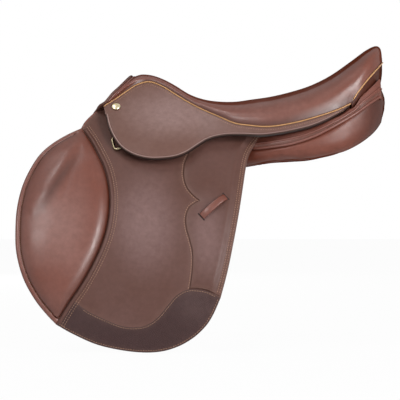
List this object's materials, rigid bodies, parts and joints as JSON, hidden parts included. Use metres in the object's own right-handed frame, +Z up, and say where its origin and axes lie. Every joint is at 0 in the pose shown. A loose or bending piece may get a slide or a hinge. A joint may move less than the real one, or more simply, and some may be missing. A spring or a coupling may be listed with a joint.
{
  "type": "jumping saddle",
  "caption": "English jumping saddle with forward-cut padded flaps, lifting skirts and flaps, girth billets, stirrup bars with safety catches and a leather seat on a wooden tree.",
  "frame": {"origin": "on the middle plane under the waist of the seat, on the line of the horse's spine", "axes": "+X from the pommel to the cantle, +Y to the off (right) side, +Z up"},
  "size_m": [0.6083, 0.4006, 0.5034],
  "materials": {
    "seat_leather": "smooth, glossy, reddish brown",
    "flap_leather": "fine grained, matt, dark brown",
    "patch_leather": "pebbled, matt, very dark brown",
    "trim_leather": "tan piping",
    "billet_leather": "plain strap leather",
    "steel": "satin",
    "nickel": "polished nickel",
    "beech": "laminated beech",
    "webbing": "woven webbing",
    "foam": "soft foam"
  },
  "bodies": {
    "saddle": {"tree": "beech", "head_plate": "steel", "tree_rivets": "steel", "seat_webbing": "webbing", "girth_webbing": "webbing", "seat_foam": "foam", "seat_cover": "seat_leather", "seat_piping": "trim_leather", "pommel_facing": "seat_leather", "cantle_facing": "seat_leather", "catch_pins": "steel", "skirt_nails": "nickel", "near_panel": "seat_leather", "near_panel_gusset": "seat_leather", "near_stirrup_bar": "steel", "near_skirt": "flap_leather", "near_flap_head": "flap_leather", "near_knee_pad_tip": "seat_leather", "near_sweat_flap": "flap_leather", "near_dee_chape": "billet_leather", "off_panel": "seat_leather", "off_panel_gusset": "seat_leather", "off_stirrup_bar": "steel", "off_skirt": "flap_leather", "off_flap_head": "flap_leather", "off_knee_pad_tip": "seat_leather", "off_sweat_flap": "flap_leather", "off_dee_chape": "billet_leather"},
    "near_flap_part": {"near_flap": "flap_leather", "near_flap_facing": "flap_leather", "near_toe_patch": "patch_leather", "near_knee_pad": "seat_leather", "near_calf_pad": "seat_leather", "near_leather_keeper": "seat_leather"},
    "near_skirt_part": {"near_skirt_flap": "flap_leather"},
    "near_catch_part": {"near_bar_catch": "steel"},
    "near_billet_front_part": {"near_billet_front": "billet_leather"},
    "near_billet_mid_part": {"near_billet_mid": "billet_leather"},
    "near_billet_rear_part": {"near_billet_rear": "billet_leather"},
    "near_dee_part": {"near_dee": "nickel"},
    "off_flap_part": {"off_flap": "flap_leather", "off_flap_facing": "flap_leather", "off_toe_patch": "patch_leather", "off_knee_pad": "seat_leather", "off_calf_pad": "seat_leather", "off_leather_keeper": "seat_leather"},
    "off_skirt_part": {"off_skirt_flap": "flap_leather"},
    "off_catch_part": {"off_bar_catch": "steel"},
    "off_billet_front_part": {"off_billet_front": "billet_leather"},
    "off_billet_mid_part": {"off_billet_mid": "billet_leather"},
    "off_billet_rear_part": {"off_billet_rear": "billet_leather"},
    "off_dee_part": {"off_dee": "nickel"}
  },
  "joints": [
    {"name": "near_flap_lift", "type": "hinge", "parent": "saddle", "child": "near_flap_part", "pos_m": [-0.11, -0.13277, -0.01445], "axis": [-1, 0, 0], "range_deg": [0, 75]},
    {"name": "near_skirt_lift", "type": "hinge", "parent": "saddle", "child": "near_skirt_part", "pos_m": [-0.0735, -0.10392, 0.0391], "axis": [-0.952, 0.179, 0.2481], "range_deg": [0, 75]},
    {"name": "near_bar_catch_turn", "type": "hinge", "parent": "saddle", "child": "near_catch_part", "pos_m": [-0.0635, -0.08942, 0.0443], "axis": [0, -0.8027, 0.5964], "range_deg": [0, 90]},
    {"name": "near_billet_front_swing", "type": "hinge", "parent": "saddle", "child": "near_billet_front_part", "pos_m": [-0.082, -0.0897, 0.01234], "axis": [0, 0.8191, -0.5736], "range_deg": [-4, 4]},
    {"name": "near_billet_mid_swing", "type": "hinge", "parent": "saddle", "child": "near_billet_mid_part", "pos_m": [-0.036, -0.0897, 0.01234], "axis": [0, 0.8191, -0.5736], "range_deg": [-4, 4]},
    {"name": "near_billet_rear_swing", "type": "hinge", "parent": "saddle", "child": "near_billet_rear_part", "pos_m": [0.01, -0.0897, 0.01234], "axis": [0, 0.8191, -0.5736], "range_deg": [-4, 4]},
    {"name": "near_dee_flip", "type": "hinge", "parent": "saddle", "child": "near_dee_part", "pos_m": [-0.126, -0.10391, 0.01625], "axis": [-0.2368, 0.5521, 0.7994], "range_deg": [0, 28]},
    {"name": "off_flap_lift", "type": "hinge", "parent": "saddle", "child": "off_flap_part", "pos_m": [-0.11, 0.13277, -0.01445], "axis": [1, 0, 0], "range_deg": [0, 75]},
    {"name": "off_skirt_lift", "type": "hinge", "parent": "saddle", "child": "off_skirt_part", "pos_m": [-0.0735, 0.10392, 0.0391], "axis": [0.952, 0.179, -0.2481], "range_deg": [0, 75]},
    {"name": "off_bar_catch_turn", "type": "hinge", "parent": "saddle", "child": "off_catch_part", "pos_m": [-0.0635, 0.08942, 0.0443], "axis": [0, -0.8027, -0.5964], "range_deg": [0, 90]},
    {"name": "off_billet_front_swing", "type": "hinge", "parent": "saddle", "child": "off_billet_front_part", "pos_m": [-0.082, 0.0897, 0.01234], "axis": [0, 0.8191, 0.5736], "range_deg": [-4, 4]},
    {"name": "off_billet_mid_swing", "type": "hinge", "parent": "saddle", "child": "off_billet_mid_part", "pos_m": [-0.036, 0.0897, 0.01234], "axis": [0, 0.8191, 0.5736], "range_deg": [-4, 4]},
    {"name": "off_billet_rear_swing", "type": "hinge", "parent": "saddle", "child": "off_billet_rear_part", "pos_m": [0.01, 0.0897, 0.01234], "axis": [0, 0.8191, 0.5736], "range_deg": [-4, 4]},
    {"name": "off_dee_flip", "type": "hinge", "parent": "saddle", "child": "off_dee_part", "pos_m": [-0.126, 0.10391, 0.01625], "axis": [0.2368, 0.5521, -0.7994], "range_deg": [0, 28]}
  ]
}
